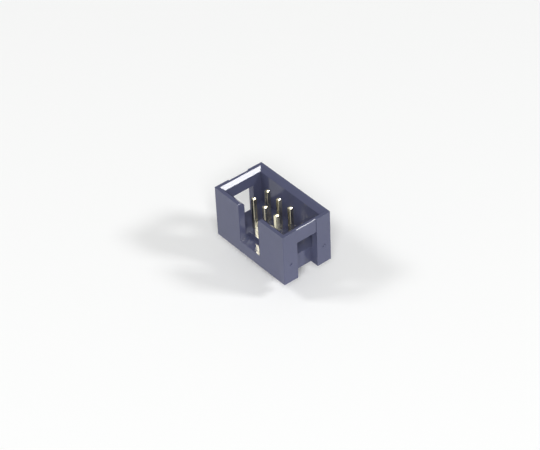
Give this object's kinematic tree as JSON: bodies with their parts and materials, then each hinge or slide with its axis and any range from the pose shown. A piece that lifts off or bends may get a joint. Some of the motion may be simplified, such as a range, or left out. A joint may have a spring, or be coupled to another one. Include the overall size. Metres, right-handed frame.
{
  "type": "box header",
  "caption": "Shrouded upright pin header for a flat ribbon cable socket, with a key slot in one long side and a window in each short end.",
  "frame": {"origin": "middle of the contact field on the underside of the housing, the face that sits on the circuit board", "axes": "+X along the rows of contacts, +Y away from the key slot, +Z out of the mouth of the cavity"},
  "size_m": [0.0152, 0.0088, 0.0117],
  "materials": {
    "housing_plastic": "semi-gloss moulded thermoplastic, slate black",
    "contact_gold": "gold plate over brass, bright"
  },
  "bodies": {
    "root": {"housing": "housing_plastic", "pin_1": "contact_gold", "pin_2": "contact_gold", "pin_3": "contact_gold", "pin_4": "contact_gold", "pin_5": "contact_gold", "pin_6": "contact_gold"}
  },
  "joints": []
}
